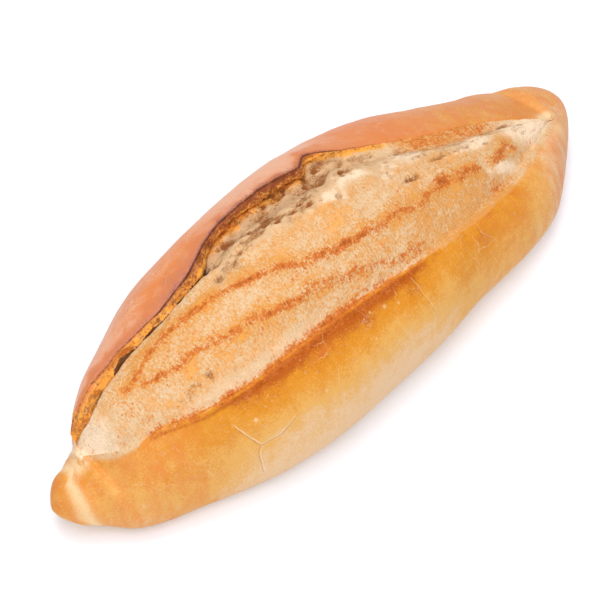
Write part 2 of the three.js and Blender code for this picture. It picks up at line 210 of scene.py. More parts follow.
# Coats of colour from the first to the last: the colour, the level that brings it out, where on that level
# it starts and where it is full, its greatest share, and the noises that fray it
CRUST_FRAY = {"cloud": 0.07, "drip": 0.05, "patch": 0.06, "speckle": 0.09}
COATS = (
    ("crust_straw", "bake", 0.0, 0.42, 1, CRUST_FRAY),
    ("crust_gold", "bake", 0.4, 0.82, 1, CRUST_FRAY),
    ("crust_deep", "bake", 0.78, 1.22, 1, CRUST_FRAY),
    ("crust_ruddy", "ruddy", 0.1, 1, 0.95, {"speckle": 0.08, "drip": 0.14}),
    # Dust on the far crust, partly painted sheen
    ("crust_dust_and_sheen", "dust", 0.15, 1, 0.9, {"speckle": 0.16, "patch": 0.1}),
    ("crust_straw", "skin", 1.4, 2.4, 0.5, {"speckle": 0.7}),
    ("crust_deep", "skin", 1.4, 2.8, 0.25, {"grain": 0.7}),
    ("crust_straw", "blister", 0, 0.05, 0.7, {}),
    ("flour_and_highlight", "pale", 0.15, 1, 0.9, {"drip": 0.1, "speckle": 0.12}),
    # Painted shadow in the gap beside each crack
    ("scorch_and_shade", "gap", 0.6, 0.95, 0.4, {}),
    # The crack's pale line: partly paler dough and partly painted highlight on its lit edge
    ("flour_and_highlight", "crack", 0.5, 0.85, 0.6, {}),
    ("flour_and_highlight", "wrinkle", 0.8, 1.4, 0.35, {"cloud": 0.5}),
    ("bloom_cream", "slash", 0.4, 0.8, 1, {"grain": 0.15}),
    ("bloom_gold", "gold", -0.5, 1.1, 1, {"cloud": 0.2, "patch": 0.35, "fibre": 0.25, "grain": 0.5}),
    ("torn_gold", "fleck", 0.2, 1.1, 0.6, {"patch": 0.4, "cloud": 0.3, "grain": 0.2}),
    ("bloom_white", "raw", 0.1, 0.9, 0.85, {"grain": 0.25, "patch": 0.2}),
    ("crumb_shade_and_fleck", "fleck", 0.7, 1.5, 0.3, {"fibre": 0.4, "speckle": 0.35}),
    ("crumb", "crumb", -0.8, 0.6, 1, {"grain": 0.25, "flake": 0.3, "patch": 0.3}),
    # Torn gold, brightened as painted light against the shade under the ear
    ("torn_gold", "torn", -0.6, 0.6, 1, {"grain": 0.3, "flake": 0.3}),
    ("toast", "toast", 0.35, 1.3, 0.92, {"grain": 0.3, "fibre": 0.2, "flake": 0.35, "patch": 0.3}),
    ("scorch_and_shade", "toast", 1.15, 2.1, 0.75, {"grain": 0.35, "fibre": 0.2, "flake": 0.3, "patch": 0.3}),
    ("bloom_cream", "lick", 0.5, 1.2, 0.6, {"flake": 0.5}),
    ("toast", "lick", 0.3, 0.9, 0.75, {"flake": -0.3, "patch": 0.5}),
    ("scorch_and_shade", "lick", 0.8, 1.3, 0.4, {"flake": -0.4, "patch": 0.5}),
    # Painted shade over holes, slots and spongy patches
    ("crumb_shade_and_fleck", "pit", 0.05, 1, 0.9, {"patch": 0.12, "flake": 0.2, "grain": 0.1}),
    # Painted shade: dark dots in the deeper holes
    ("scorch_and_shade", "pit", 0.45, 0.95, 0.65, {"pore": 1, "grain": 0.12}),
    ("scald", "scald", 0.15, 1, 0.9, {"grain": 0.15, "flake": 0.2}),
    # Painted shade in the crevice
    ("char", "crevice", 0.3, 0.8, 0.9, {"grain": 0.2}),
    ("flush", "flush", 0.05, 1, 0.8, {"speckle": 0.1}),
    # Burnt band, its purple partly painted sheen
    ("burnt", "burnt", 0.1, 0.9, 0.85, {"speckle": 0.15}),
    ("char", "char", 0.15, 0.65, 0.85, {"grain": 0.05, "flake": 0.1}),
)

# Relief finer than the mesh: a pattern, the level that it is multiplied by, and its height in millimetres
FINE_RELIEF = (
    ("grain", "crag", 0.05), ("fibre", "crag", 0.05), ("speckle", "skin", 0.008), ("drip", "skin", 0.04),
    ("blister", "skin", 0.3), ("crack", "skin", 0.1), ("gap", "skin", -0.2), ("wrinkle", "skin", 0.05),
)

# How far a noise is stretched about its middle, the waves of cracks and wrinkles in millimetres, the
# roughness of the near crust, the far crust and torn dough, and the level outside an area
NOISE_STRETCH = 7.0
CRACK_SWAY = 3.0
CRUST_ROUGHNESS, FAR_CRUST_ROUGHNESS, TORN_ROUGHNESS = 0.66, 0.45, 0.85
OUTSIDE = -2.0

# The stage, in metres apart from the floor's ripple and the sensor, which are in millimetres
AIM = Vector((-14, 2.2, 24)) * MM
FLOOR_HALF = 3.0
RIPPLE, RIPPLE_HEIGHT = 18.0, 0.02
KEY_PLACE, KEY_SIZE = (0.12, 0.2, 1.2), 0.8
FILL_PLACE, FILL_SIZE = (-0.58, -0.6, 1.25), 1.2
SENSOR_WIDTH = 36


def linear(code):
    """The linear colour of an sRGB hex code, with the standard curve."""
    parts = [int(code[i:i + 2], 16) / 255 for i in (1, 3, 5)]
    return tuple(v / 12.92 if v <= 0.04045 else ((v + 0.055) / 1.055) ** 2.4 for v in parts)


def size_property(name, description, millimetres):
    """A length that the panel shows, with its default given in millimetres."""
    return FloatProperty(name=name, description=description, default=millimetres * MM, min=0, unit="LENGTH",
                         subtype="DISTANCE", precision=4)


def colour_property(name, description, code):
    """A colour that the panel shows, with its default given as an sRGB hex code."""
    return FloatVectorProperty(name=name, description=description, default=linear(code), min=0, max=1, size=3,
                               subtype="COLOR")


class LoafSizes(bpy.types.PropertyGroup):
    """Sizes of the loaf and of its texture."""
    length: FloatProperty(name="Length", description="Tip to tip", unit="LENGTH", subtype="DISTANCE",
                          default=CAD_BOX[1].x - CAD_BOX[0].x, min=0.05)
    near_reach: size_property("Near reach", "Axis to the fullest part of the near flank", 50.5)
    far_reach: size_property("Far reach", "Axis to the fullest part of the far flank", 43)
    crown: size_property("Crown", "Base to the top that the closed crust would have", 75)
    ear: size_property("Ear", "Torn edge of the lifted crust", 5)
    bloom_crown: size_property("Bloom crown", "How far the bloom bulges over its chord", 6)
    crumb_hole: size_property("Crumb hole", "Usual spacing of the holes in the open crumb", 2.6)
    blister: size_property("Blister spacing", "Distance between the small pale blisters", 7)
    wrinkle: size_property("Wrinkle spacing", "Distance between the faint wrinkles of the dried skin", 16)
    stations: IntProperty(name="Stations", description="Steps along the loaf", default=380, min=40, max=380)


class LoafColours(bpy.types.PropertyGroup):
    """Colours of the baked dough."""
    crust_pale: colour_property("Pale crust", "Lower flank that baked least", "#dfba90")
    crust_straw: colour_property("Straw crust", "Middle of the flank, and blisters", "#dda555")
    crust_gold: colour_property("Golden crust", "Upper flank", "#d2861d")
    crust_deep: colour_property("Deep crust", "Darkest band under the rim", "#ab5100")
    crust_ruddy: colour_property("Ruddy crust", "Crust of the far flank", "#d97d40")
    # Dusty crust high on the far flank, partly floury dust and partly painted sheen where the crust turns
    # away
    crust_dust_and_sheen: colour_property("Dusty crust", "Duller, floury crust high on the far flank", "#e0ab8d")
    # Pale stretched skin, wrinkles and floury spots, and the pale lines of cracks, partly painted highlight
    # on their lit edge
    flour_and_highlight: colour_property("Flour", "Stretched skin, cracks, wrinkles and floury spots", "#e9c99c")
    bloom_cream: colour_property("Cream bloom", "Torn dough that baked least", "#d9b992")
    bloom_gold: colour_property("Golden bloom", "Torn dough that took colour", "#d39147")
    bloom_white: colour_property("Raw bloom", "Torn dough that stayed white", "#f3dabc")
    toast: colour_property("Toast", "Crests of the tears and the rim", "#c76a28")
    # Scorched grains of the toast, and painted shade in deep holes and in the gaps of cracks
    scorch_and_shade: colour_property("Scorch", "Darkest grains of the toast, deep holes and gaps of cracks", "#8c4512")
    crumb: colour_property("Crumb", "Walls of the open crumb", "#d3ac82")
    # Painted shade inside the crumb's holes, slots and spongy patches; also the bloom's dull flecks, which
    # are real
    crumb_shade_and_fleck: colour_property("Crumb shade", "Inside of the crumb's holes, and dull flecks", "#94602f")
    # Torn edge of the ear, its gold brighter than the dough as painted light against the shade under the ear;
    # also the bloom's flecks
    torn_gold: colour_property("Torn gold", "Torn edge of the ear, and flecks of the bloom", "#efa445")
    scald: colour_property("Scald", "Torn edge where it browned most", "#874228")
    flush: colour_property("Flushed crust", "Crust beside the ear's edge", "#b8735a")
    # Burnt band along the ear's edge, its purple tint partly painted sheen from the glossy edge
    burnt: colour_property("Burnt crust", "Band along the ear's edge", "#7d5050")
    # The ear's charred edge, and painted shade in the crevice under it
    char: colour_property("Char", "The ear's edge itself, and the crevice under it", "#4a2415")


class StageSettings(bpy.types.PropertyGroup):
    """Camera, light and floor."""
    azimuth: FloatProperty(name="Azimuth", description="Camera's turn about the loaf", subtype="ANGLE",
                           default=math.radians(-45.5))
    elevation: FloatProperty(name="Elevation", description="Camera's angle over the floor", subtype="ANGLE",
                             default=math.radians(51))
    distance: size_property("Distance", "Camera to the point it looks at", 1000)
    lens: FloatProperty(name="Lens", description="Focal length on a 36 mm sensor", default=158.4, min=1,
                        unit="CAMERA")
    key: FloatProperty(name="Key light", description="Power of the softbox behind the loaf", default=7,
                       unit="POWER")
    fill: FloatProperty(name="Fill light", description="Power of the softbox beside the camera", default=14,
                        unit="POWER")
    sky: FloatProperty(name="Sky", description="Strength of the white surroundings", default=0.5, min=0)
    floor: colour_property("Floor", "Plain pale floor", "#eff2fb")
    glow: colour_property("Floor glow", "Faint light of the floor's own", "#f3fcff")


def rise(x, start, end):
    """Smoothstep: 0 up to start, 1 from end on."""
    t = np.clip((x - start) / (end - start), 0, 1)
    return t * t * (3 - 2 * t)


def between(x, start, full, keep, end):
    """A rise from start to full that falls back to 0 from keep to end."""
    return rise(x, start, full) * (1 - rise(x, keep, end))


def bell(x, middle, width):
    """A Gaussian bell of height 1 that falls to 1/e at one width from its middle."""
    return np.exp(-(((x - middle) / width) ** 2))


def blend(a, b, share):
    """The straight mix of a and b."""
    return a + (b - a) * share


def line_at(rows, x):
    """Smooth lines through rows that start with x: cubic pieces whose slopes are the neighbours' mean
    slopes, each weighted with the other piece's length. Returns one array for each further column."""
    rows = np.array(rows, float)
    knots = rows[:, 0]
    spans = np.diff(knots)
    place = np.clip(x, knots[0], knots[-1])
    k = np.clip(np.searchsorted(knots, place, side="right") - 1, 0, len(knots) - 2)
    t = (place - knots[k]) / spans[k]
    lines = []
    for values in rows[:, 1:].T:
        rises = np.diff(values) / spans
        inner = (rises[:-1] * spans[1:] + rises[1:] * spans[:-1]) / (spans[:-1] + spans[1:])
        slopes = np.concatenate((rises[:1], inner, rises[-1:]))
        start = (1 + 2 * t) * (1 - t) ** 2 * values[k] + t * (1 - t) ** 2 * spans[k] * slopes[k]
        lines.append(start + t * t * (3 - 2 * t) * values[k + 1] + t * t * (t - 1) * spans[k] * slopes[k + 1])
    return lines


def scatter(cell, seed):
    """A number from 0 to 1 for each lattice cell: its three indices and the seed, multiplied by large odd
    numbers, added up and mixed twice, so that neighbours have nothing in common."""
    i, j, k = np.moveaxis(cell.astype(np.int64), -1, 0)
    mixed = (i * 374761393 + j * 668265263 + k * 1103515245 + seed * 144664981) & 0xFFFFFFFF
    mixed = ((mixed ^ (mixed >> 13)) * 1274126177) & 0xFFFFFFFF
    return ((mixed ^ (mixed >> 16)) & 0xFFFFFF) / 0xFFFFFF


def cloud(points, size, seed):
    """Soft noise from -1 to 1: the scattered numbers of the eight lattice corners, mixed by smoothsteps."""
    scaled = points / size
    corner = np.floor(scaled)
    share = scaled - corner
    share = share * share * (3 - 2 * share)
    total = 0
    for step in itertools.product((0, 1), repeat=3):
        weight = np.prod(np.where(step, share, 1 - share), axis=-1)
        total = total + weight * scatter(corner + step, seed)
    return 2 * total - 1


def rough(points, size, octaves, seed):
    """Fractal noise: clouds added up, each with half the size and half the height of the one before."""
    return sum(cloud(points, size / 2 ** n, seed + n) / 2 ** n for n in range(octaves))


def pores(points, size, seed):
    """Distance to the nearest of the points that are scattered one to a lattice cell, in cells, and that
    point's own number from 0 to 1."""
    scaled = points / size
    home = np.floor(scaled)
    nearest = np.full(points.shape[:-1], 9.0)
    own = np.zeros(points.shape[:-1])
    for step in itertools.product((-1, 0, 1), repeat=3):
        cell = home + step
        middle = cell + np.stack([scatter(cell, seed + n) for n in range(3)], axis=-1)
        distance = np.linalg.norm(scaled - middle, axis=-1)
        closer = distance < nearest
        nearest = np.where(closer, distance, nearest)
        own = np.where(closer, scatter(cell, seed + 3), own)
    return nearest, own


def wobble(x, size, seed):
    """Noise along one line, from -1 to 1."""
    points = np.stack((x, np.full_like(x, 0.37 * size), np.full_like(x, 0.61 * size)), axis=-1)
    return cloud(points, size, seed)


def taper(u, peak, left, right):
    """A round-ended outline: 1 at the peak and 0 at both tips, (1 - m^power)^(1/root) with m the share of
    the way to the tip, and its own power and root on each side."""
    power = np.where(u < peak, left[0], right[0])
    root = np.where(u < peak, left[1], right[1])
    m = np.clip(np.abs(u - peak) / np.where(u < peak, 1 + peak, 1 - peak), 0, 1)
    return (1 - m ** power) ** (1 / root)


def outline(x, sizes):
    """The closed loaf at x: reaches of both flanks and crown height, each a taper with swells and a pinched
    neck, the lift of the base towards the tips, and the bend of the blunt tip."""
    u = x / (sizes.length / MM / 2)
    inside = 1 - np.abs(u) ** 6
    pinch = bell(x, NECK_AT, NECK_WIDTH)
    near_swell = sum(height * bell(x, place, width) for place, width, height in NEAR_SWELLS)
    far_swell = sum(height * bell(x, place, width) for place, width, height in FAR_SWELLS)
    near = sizes.near_reach / MM * taper(u, *NEAR_TAPER) + near_swell * inside - NECK_NEAR * pinch
    far = sizes.far_reach / MM * taper(u, *FAR_TAPER) + far_swell * inside - NECK_FAR * pinch
    crown = sizes.crown / MM * taper(u, *CROWN_TAPER) - NECK_TOP * pinch
    raised = np.clip((np.abs(u) - LIFT_FROM) / (1 - LIFT_FROM), 0, 1) ** LIFT_POWER
    lift = np.where(u < 0, PINCHED_TIP_LIFT, BLUNT_TIP_LIFT) * raised
    bend = BLUNT_TIP_BEND * rise(x, 92, 126)
    return np.maximum(near, 0), np.maximum(far, 0), np.maximum(crown, 0), lift, bend


def gape(x):
    """How far the slash has opened at x, from 0 to 1."""
    return between(x, SLASH_FROM - 5, SLASH_FROM + 1.5, SLASH_TO - 2, SLASH_TO + 8)


def landmarks(x, sizes):
    """Points of the cross-sections at x, as (landmarks, stations, y and z). Base and flanks come from the
    outline. The near crust is a quarter ellipse up to the rim, and the bloom a parabola over the chord from
    rim to shoulder. The hollow and the torn edge hang from the ear, close to the bloom where the gap is
    nearly shut, and the far crust is a quarter ellipse down from the ear. Where the slash is shut, the
    upper points slide onto a plain arch and close up at its crest. Rim, shoulder and ear also wander a
    little, as torn dough does."""
    near, far, crown, lift, bend = outline(x, sizes)
    open_share = gape(x)
    thick = sizes.ear / MM * (1 + 0.32 * (1 - rise(x, -110, -85))) * (1 - 0.82 * rise(x, 6, 34))
    torn = thick * between(x, SLASH_FROM, SLASH_FROM + 5, 95, SLASH_TO)
    torn = torn * (1 + 0.16 * wobble(x, 7, 11) + 0.1 * wobble(x, 2.6, 12))
    rim_y, rim_z = line_at(RIM, x)
    rim_y = rim_y + 0.5 * wobble(x, 8, 13) + 0.3 * wobble(x, 3.1, 14)
    rim_z = rim_z + 0.3 * wobble(x, 6, 15)
    crust_y, ear_z, gap = line_at(EAR, x)
    notch = NOTCH_DEPTH * between(x, NOTCH_FROM, NOTCH_PEAK, NOTCH_PEAK, NOTCH_TO)
    ear_y = crust_y + notch + 0.4 * wobble(x, 9, 16) + 0.25 * wobble(x, 3.3, 17)
    sunk = 2.5 * (1 - rise(x, -84, -30)) * rise(x, SLASH_FROM, SLASH_FROM + 14)
    sink = blend(1, 0.62, rise(x, -55, -35))
    shut = between(x, -122, -118, -60, -44)
    flat = rise(x, 4, 24)
    free = 1 - shut - flat
    shoulder_y = ear_y - gap + 0.8 * wobble(x, 9, 18) * rise(gap, 3, 8)
    shoulder_z = ear_z + 0.16 * gap - sunk + 0.5 * wobble(x, 6, 19) * rise(gap, 3, 8)
    near_y, near_z = bend - near, lift + BULGE_NEAR * crown
    far_y, far_z = bend + far, lift + BULGE_FAR * crown
    crest = np.where(x < 0, PINCHED_CREST, BLUNT_CREST)
    points = []

    def put(y, z):
        points.append(np.stack((y, z), axis=-1))

    def mix(y, z, degrees):
        angle = np.radians(degrees)
        arch_y = bend + np.where(np.cos(angle) < 0, near, far) * np.cos(angle)
        arch_z = lift + crown * (BULGE_FAR + OVER_BULGE * np.sin(angle))
        put(blend(arch_y, y, open_share), blend(arch_z, z, open_share))

    # Base and near flank
    put(bend + BASE_FAR * far, lift)
    put(bend, lift)
    put(bend - BASE_NEAR * near, lift)
    put(bend - FOOT_NEAR[0] * near, lift + FOOT_NEAR[1] * crown)
    put(near_y, near_z)
    for degrees, groove in ((36, 0), (66, 0.8 * (1 - rise(x, 10, 40)))):
        angle = math.radians(degrees)
        y = rim_y - (rim_y - near_y) * math.cos(angle) + groove
        z = near_z + (rim_z - near_z) * math.sin(angle) - groove
        mix(y, z, 180 - (172 - crest) * degrees / 90)

    # Rim, bloom and shoulder
    mix(rim_y, rim_z, crest + 8)
    mix(rim_y + RIM_STEP, rim_z + 0.1, crest + 6)
    bulge = sizes.bloom_crown / MM * np.clip((shoulder_y - rim_y) / 40, 0, 1.3)
    for share, spread in ((0.3, 4), (0.68, 1.5)):
        z = blend(rim_z, shoulder_z, share) + bulge * (1 - (2 * share - 1) ** 2)
        mix(blend(rim_y + RIM_STEP, shoulder_y, share), z, crest + spread)
    mix(shoulder_y, shoulder_z, crest)

    # Hollow, root and face of the torn edge, then the edge itself
    hollow_y = free * (-0.35 * gap - 0.4 * torn) - (0.93 * shut + 0.55 * flat) * gap
    root_y = free * 0.15 * torn - (0.87 * shut + 0.3 * flat) * gap
    face_y = free * -0.4 * torn - (0.76 * shut + 0.12 * flat) * gap
    mix(ear_y + hollow_y, ear_z - torn * (1.35 * sink * free + 1.2 * shut + 1.3 * flat), crest - 2)
    mix(ear_y + root_y, ear_z - torn * (1.75 * sink * free + 1.3 * shut + flat), crest - 4)
    mix(ear_y + face_y, ear_z - torn * (1.05 * sink * free + 0.66 * shut + 0.5 * flat), crest - 6)
    mix(ear_y - 0.06 * torn, ear_z - 0.15 * torn, crest - 8)
    mix(ear_y + 0.12 * torn, ear_z, crest - 10)

    # Far flank
    for degrees in (30, 60):
        angle = math.radians(degrees)
        y = blend(crust_y, far_y, math.sin(angle))
        mix(y, blend(far_z, ear_z, math.cos(angle)), (crest - 10) * (1 - degrees / 90))
    put(far_y, far_z)
    put(bend + FOOT_FAR[0] * far, lift + FOOT_FAR[1] * crown)
    return np.stack(points)


def rings(points):
    """Closed centripetal Catmull-Rom curves through the landmarks, as (stations, samples, y and z), and the
    place of each sample: its landmark's number with a fraction for the way to the next one."""
    count = len(points)
    parts = []
    places = []
    for i, samples in enumerate(SECTION.values()):
        before, start, end, after = (points[(i + n) % count] for n in (-1, 0, 1, 2))
        d0, d1, d2 = (
            np.maximum(((b - a) ** 2).sum(axis=-1) ** 0.25, 1e-4)[:, None, None]
            for a, b in ((before, start), (start, end), (end, after))
        )
        before, start, end, after = (p[:, None, :] for p in (before, start, end, after))
        leave = ((start - before) / d0 - (end - before) / (d0 + d1) + (end - start) / d1) * d1
        arrive = ((end - start) / d1 - (after - start) / (d1 + d2) + (after - end) / d2) * d1
        t = (np.arange(samples) / samples)[None, :, None]
        part = (2 * t ** 3 - 3 * t ** 2 + 1) * start + (t ** 3 - 2 * t ** 2 + t) * leave
        parts.append(part + (3 * t ** 2 - 2 * t ** 3) * end + (t ** 3 - t ** 2) * arrive)
        places.append(i + t[0, :, 0])
    return np.concatenate(parts, axis=1), np.concatenate(places)


def smooth_loaf(sizes):
    """The loaf without its texture, as a (stations, samples, 3) grid, and the places of its samples. The
    stations crowd a little towards the tips."""
    a = np.linspace(-1, 1, sizes.stations + 2)[1:-1]
    x = sizes.length / MM / 2 * blend(a, np.sin(a * np.pi / 2), 0.4)
    curve, place = rings(landmarks(x, sizes))
    grid = np.concatenate((np.broadcast_to(x[:, None, None], curve.shape[:2] + (1,)), curve), axis=-1)
    return grid, place


def normals(grid):
    """Unit normals: the cross product of the grid's steps along the loaf and round its section."""
    along = np.gradient(grid, axis=0)
    around = np.roll(grid, -1, axis=1) - np.roll(grid, 1, axis=1)
    normal = np.cross(along, around)
    return normal / np.maximum(np.linalg.norm(normal, axis=-1, keepdims=True), 1e-9)


def spots(rows, a, b):
    """The highest of round bells over the coordinates a and b: rows of the middle, two half widths and the
    height."""
    bells = [top * bell(a, at_a, wide) * bell(b, at_b, deep) for at_a, at_b, wide, deep, top in rows]
    return np.maximum.reduce(bells)


def tears(x, y):
    """Core and halo of the tears: for each, a narrow and a wide bell across its wandering line, fading out
    at both ends. The core is also uneven along the line. It reaches about 1.9, and the halo 1."""
    core = 0
    halo = 0
    along = x[:, 0]
    for seed, rows in enumerate(TEARS, 201):
        middle, strength = line_at(rows, x)
        wander = 0.8 * wobble(along, 6, seed) + 0.5 * wobble(along, 2.2, seed + 20)
        uneven = 1.4 + 0.5 * wobble(along, 4.2, seed + 40)
        offset = y - middle - wander[:, None]
        start, end = rows[0][0], rows[-1][0]
        ends = strength * between(x, start - TEAR_FADE, start, end, end + TEAR_FADE)
        core = np.maximum(core, bell(offset, 0, TEAR_CORE) * uneven[:, None] * ends)
        halo = np.maximum(halo, bell(offset, 0.1 * TEAR_HALO, TEAR_HALO) * ends)
    return core, halo


def crack_offsets(x, z):
    """Signed distances from three hairline cracks, and how much of each shows. A crack is a broken line, z
    over x or x over z, and the distance is the offset along that axis times the cosine of the line's
    slope."""
    step = 0.4
    offsets = []
    shares = []
    for rows, run, across, most in ((CRACK_ACROSS, x, z, 1), (CRACK_DOWN, z, x, 1), (HAIRLINE, z, x, 0.75)):
        knots, values = np.array(rows, float).T
        slope = (np.interp(run + step, knots, values) - np.interp(run - step, knots, values)) / (2 * step)
        offsets.append((across - np.interp(run, knots, values)) / np.hypot(1, slope))
        shares.append(most * between(run, knots[0], knots[0] + 4, knots[-1] - 1.5, knots[-1] + 0.5))
    return np.stack(offsets, axis=-1), np.stack(shares, axis=-1)


def areas(grid, w):
    """Shares of the surface from 0 to 1, each as (stations, samples), with frayed borders. The places w
    count the landmarks of a section: 7 is the rim, 8 the fold inside it, 11 the bloom's shoulder, 13 the
    gap's root and 15 the ear's edge."""
    x = grid[..., 0]
    fray = rough(grid, 5, 3, 101)
    shown = between(x, SLASH_FROM - 6, SLASH_FROM - 2, SLASH_TO, SLASH_TO + 5)
    ridged = between(x, -112, -102, 0, 30)

    # The slash starts at the fold inside the rim and ends at the ear's edge
    lobe = 1 - rise(x, -118, -106)
    fold = blend(6.9, 8, ridged) - 0.35 * lobe - 0.35 * rise(x, 45, 80)
    soft = blend(0.35, 0.2, ridged) + 0.3 * lobe
    top = blend(17.4, 14.6, rise(x, -121.5, -118.5))
    far = rise(w + 0.2 * fray, top, top + 0.35)
    slash = shown * rise(w + 0.12 * fray, fold - soft, fold + soft) * (1 - far)

    # Open crumb under the ear, and the ear's torn face
    under = blend(12.6, 13, rise(x, 6, 24))
    crumb = slash * between(w + 0.4 * fray, 10.2, 11, under, under + 0.4) * rise(x + 8 * fray, -64, -42)
    crumb = crumb * (1 - 0.9 * rise(x, 24, 42))
    free = rise(x, -58, -44)
    thin = rise(x, 4, 20)
    face_from = blend(13.2, 11.98, free) + 0.85 * thin
    torn = slash * rise(w + 0.25 * fray, face_from, face_from + 0.45 + 0.4 * free + 0.6 * thin)
    torn = torn * (1 - rise(x, 34, 54)) * rise(x, -120, -118)
    ragged_end = shown * between(x, -121, -120, -118, -115.5) * between(w, 13, 13.6, 16.6, 17.4)
    torn = np.maximum(torn, ragged_end)
    return {
        "shown": shown, "ridged": ridged, "far": far, "slash": slash, "crumb": crumb, "torn": torn,
        "bloom": slash * (1 - crumb) * (1 - torn),
        "ridge": shown * ridged * between(w, 6.55, 6.75, 8, 8.3),
        "flank": between(w, 2.6, 3, 6.9, 7.1),
    }


def crags(grid, w, parts, halo, sizes):
    """Height of the skin over the smooth loaf in millimetres, and how deep in a hole each point is, from 0 to
    1, which the material turns into painted shade. Crust is gently uneven. The bloom has ridges along its
    tears, grains and strands, slots and spongy patches, the rim and the torn edge are rough, and the crumb
    has caves and is pitted with large and small round holes."""
    x, y, z = np.moveaxis(grid, -1, 0)
    grain = rough(grid, 2.6, 2, 111)
    strand = rough(grid * (1, 0.4, 0.4), 1.6, 2, 121)
    hole, own = pores(grid * (0.7, 1, 1), sizes.crumb_hole / MM, 131)
    pit = rise(blend(0.32, 0.15, rise(x, 0, 30)) + 0.4 * own - hole, 0, 0.3)
    hole, own = pores(grid * (0.8, 1, 1), 0.5 * sizes.crumb_hole / MM, 141)
    small_pit = rise(0.15 + 0.4 * own - hole, 0, 0.3)
    cave = rise(rough(grid * (0.6, 1, 1), 4.5, 3, 146), -0.3, 0.6)
    pit = pit * rise(cave, 0.1, 0.5)
    slot = spots(SLOTS, x + 1.2 * grain, y + 0.7 * strand) * parts["bloom"]
    sponge = spots(SPONGE, x + 2 * grain, y + grain) * parts["bloom"]
    skin = (1 - np.maximum(parts["slash"], parts["ridge"])) * rise(z, 1, 12)
    lip = between(w, 6.7, 7, 7.8, 8.2) - 0.7 * bell(w, 6.5, 0.2)
    height = skin * (0.5 * rough(grid, 40, 2, 151) + 0.1 * rough(grid, 6, 3, 161))
    height = height + parts["bloom"] * (TEAR_HEIGHT * halo + 0.2 * grain + 0.12 * strand)
    height = height - slot - 0.5 * small_pit * sponge
    height = height + parts["ridge"] * (0.9 * lip + 0.6 * rough(grid, 2.2, 2, 171))
    height = height + parts["crumb"] * (0.3 * grain - 0.9 * pit - 0.4 * small_pit - 1.2 * cave)
    height = height + parts["torn"] * (0.9 * rough(grid, 3.2, 3, 181) - 0.5 * small_pit)
    height = height - 0.4 * bell(x, line_at(CREASE, w)[0], 2) * rise(z, 2, 8)
    open_share = np.maximum(parts["crumb"], blend(0.25, 0.6, rise(x, -110, -96)) * parts["torn"])
    # Depth of holes, with slots and spongy patches, for painted shade
    depth = np.maximum.reduce((pit, 0.45 * small_pit, 0.55 * cave)) * open_share
    return height, np.clip(depth + 0.4 * slot + (0.2 + 0.2 * small_pit) * sponge, 0, 1)


def crust_levels(grid, w, parts, fray):
    """How far the crust is baked, from 0 for pale to over 1 for deep brown, and how ruddy, dusty and floury
    it is. The dust high on the far flank is partly painted sheen. The near flank follows its table and is
    paler towards the blunt tip. The far flank is even, with a slow drift, and pale towards its foot, and the
    underside is plain."""
    x, y, z = np.moveaxis(grid, -1, 0)
    far = parts["far"]
    drift = rough(grid, 16, 2, 106)
    under = np.maximum(1 - rise(w, 2, 2.6), rise(w, 20.2, 20.8))

    middle, ends = line_at(BAKE, w)
    bake = blend(ends, middle, between(x, -104, -66, 0, 36))
    bake = bake + 0.12 * between(x, 20, 50, 74, 100) * rise(w, 4.4, 6) - 0.58 * rise(x, 68, 108)
    bake = bake - 0.12 * (1 - rise(x, -118, -100)) + 0.12 * (1 - rise(x, -136, -131))
    far_bake = 0.5 + 0.15 * drift + 0.15 * rise(x, 30, 70) - 0.25 * rise(x, 100, 124)
    far_bake = far_bake - 0.4 * rise(w, 18.5, 19.8) + 0.2 * between(x, 96, 106, 114, 124)
    bake = blend(blend(bake, far_bake, far), UNDERSIDE_BAKE, under)
    streaks = 0.06 * wobble(x[:, 0], 8, 196)[:, None] + 0.08 * fray
    bake = bake + parts["flank"] * rise(w, 5.9, 6.3) * streaks

    ruddy = far * (1 - 0.45 * rise(x, 40, 90) - 0.15 * rise(x, 100, 124))
    ruddy = np.maximum(ruddy, 0.45 * (1 - rise(x, -105, -78)))
    ruddy = ruddy * (1 - 0.6 * rise(w + 0.4 * fray, 17.9, 19.3))
    ruddy = np.maximum(ruddy, 0.3 * rise(x, 25, 55) + 0.25 * rise(x, 75, 112)) * (1 - under)

    # Dust in a band high on the far flank up to the outline seen from the camera: partly floury dust and
    # partly painted sheen
    dust = blend(0.45, 1, between(x, -52, -16, 4, 34)) * (1 - 0.5 * rise(x, 20, 40))
    dust = dust * (1 - 0.9 * rise(x, 50, 80)) + 0.3 * (1 - rise(x, -95, -75))
    from_ear = w + 0.4 * fray + 0.5 * between(x, -48, -34, 0, 12)
    dust = dust * far * between(from_ear, 15.9, 16.9, 18.2, 19.5) * (1 - under)

    crease = bell(x, line_at(CREASE, w)[0], 2.6) * rise(z, 3, 9)
    stretched = spots(STRETCHED, x, y) * rise(z, 14, 22)
    floury = spots(FLOUR_SPOTS, x, z) * parts["flank"]
    pale = np.maximum.reduce((0.85 * crease, stretched, floury))
    return {"bake": bake, "ruddy": ruddy, "dust": dust, "pale": pale}


